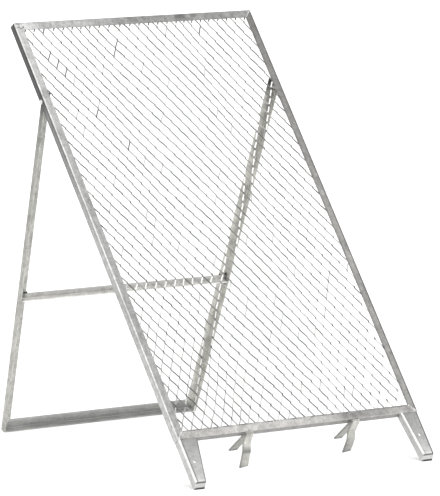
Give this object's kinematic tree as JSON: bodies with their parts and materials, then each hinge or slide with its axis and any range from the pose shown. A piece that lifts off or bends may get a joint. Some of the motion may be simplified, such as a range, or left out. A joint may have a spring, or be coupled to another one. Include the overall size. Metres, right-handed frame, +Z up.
{
  "type": "throw-through garden sieve",
  "caption": "Free-standing garden sieve: a tilted panel of expanded steel mesh in an angle-bar frame, with tapering feet, forked hooks and a folding rear stand.",
  "frame": {"origin": "on the floor, under the centre of the object's bounding box", "axes": "+Z up; -Y towards the sieve's front, the side that material is thrown at; +X along the panel's width and the stand's hinge axis"},
  "size_m": [0.6064, 0.8154, 0.888],
  "materials": {
    "zinc_frame": "hot-dip galvanised steel, soft grey with a faint spangle",
    "zinc_mesh": "hot-dip galvanised expanded metal",
    "zinc_foot": "hot-dip galvanised pressed sheet with bright rounded edges",
    "zinc_hook": "hot-dip galvanised flat steel",
    "zinc_stand": "hot-dip galvanised steel, mottled matt grey",
    "bright_zinc_fastener": "bright zinc-plated steel"
  },
  "bodies": {
    "panel": {"frame_rail_left": "zinc_frame", "frame_rail_right": "zinc_frame", "frame_rail_top": "zinc_frame", "frame_rail_bottom": "zinc_frame", "sieve_mesh": "zinc_mesh", "foot_left": "zinc_foot", "foot_right": "zinc_foot", "hook_back_prong_left": "zinc_hook", "hook_front_prong_left": "zinc_hook", "hook_back_prong_right": "zinc_hook", "hook_front_prong_right": "zinc_hook", "pivot_bolt_left": "bright_zinc_fastener", "pivot_bolt_right": "bright_zinc_fastener", "pivot_washer_left": "bright_zinc_fastener", "pivot_washer_right": "bright_zinc_fastener", "pivot_nut_left": "bright_zinc_fastener", "pivot_nut_right": "bright_zinc_fastener"},
    "stand": {"stand_leg_left": "zinc_stand", "stand_leg_right": "zinc_stand", "stand_bottom_bar": "zinc_stand", "stand_crossbar": "zinc_stand"}
  },
  "joints": [
    {"name": "stand_fold", "type": "hinge", "parent": "panel", "child": "stand", "pos_m": [0, 0.15497, 0.73118], "axis": [1, 0, 0], "range_deg": [-56, 0]}
  ]
}
